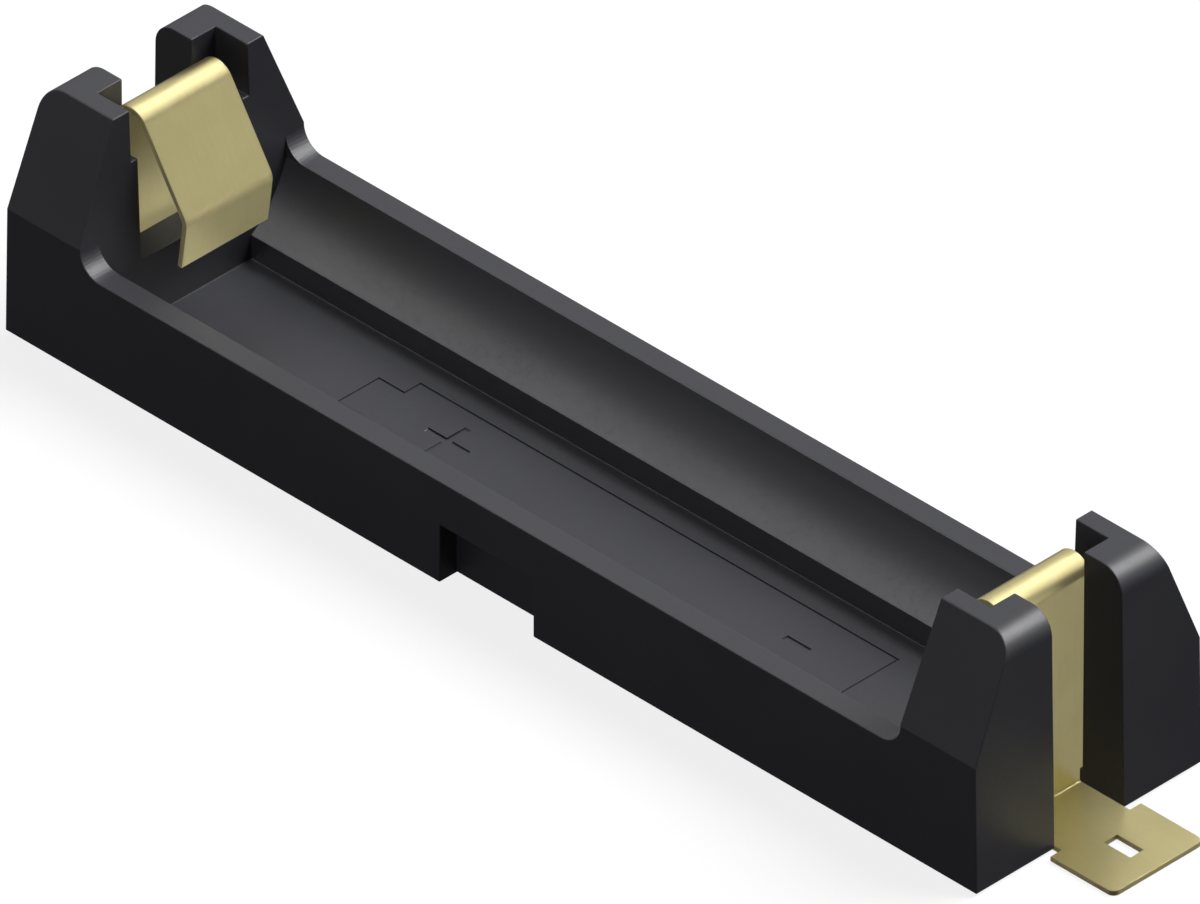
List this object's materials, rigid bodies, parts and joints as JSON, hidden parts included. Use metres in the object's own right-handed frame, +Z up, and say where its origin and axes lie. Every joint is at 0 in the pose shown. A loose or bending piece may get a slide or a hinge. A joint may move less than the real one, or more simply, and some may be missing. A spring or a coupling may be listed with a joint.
{
  "type": "cylindrical cell holder",
  "caption": "Open moulded cradle for a small cylindrical cell, with end towers, folded spring contacts and flat solder feet.",
  "frame": {"origin": "under the middle of the body, level with the undersides of the solder feet", "axes": "+X along the cell towards the negative contact, +Y across to the back, +Z up from the board"},
  "size_m": [0.0628, 0.0128, 0.0114],
  "materials": {
    "moulded_body": "fine satin black moulding",
    "plated_contact": "satin gold plating"
  },
  "bodies": {
    "root": {"holder_body": "moulded_body", "positive_contact": "plated_contact", "negative_contact": "plated_contact"}
  },
  "joints": []
}
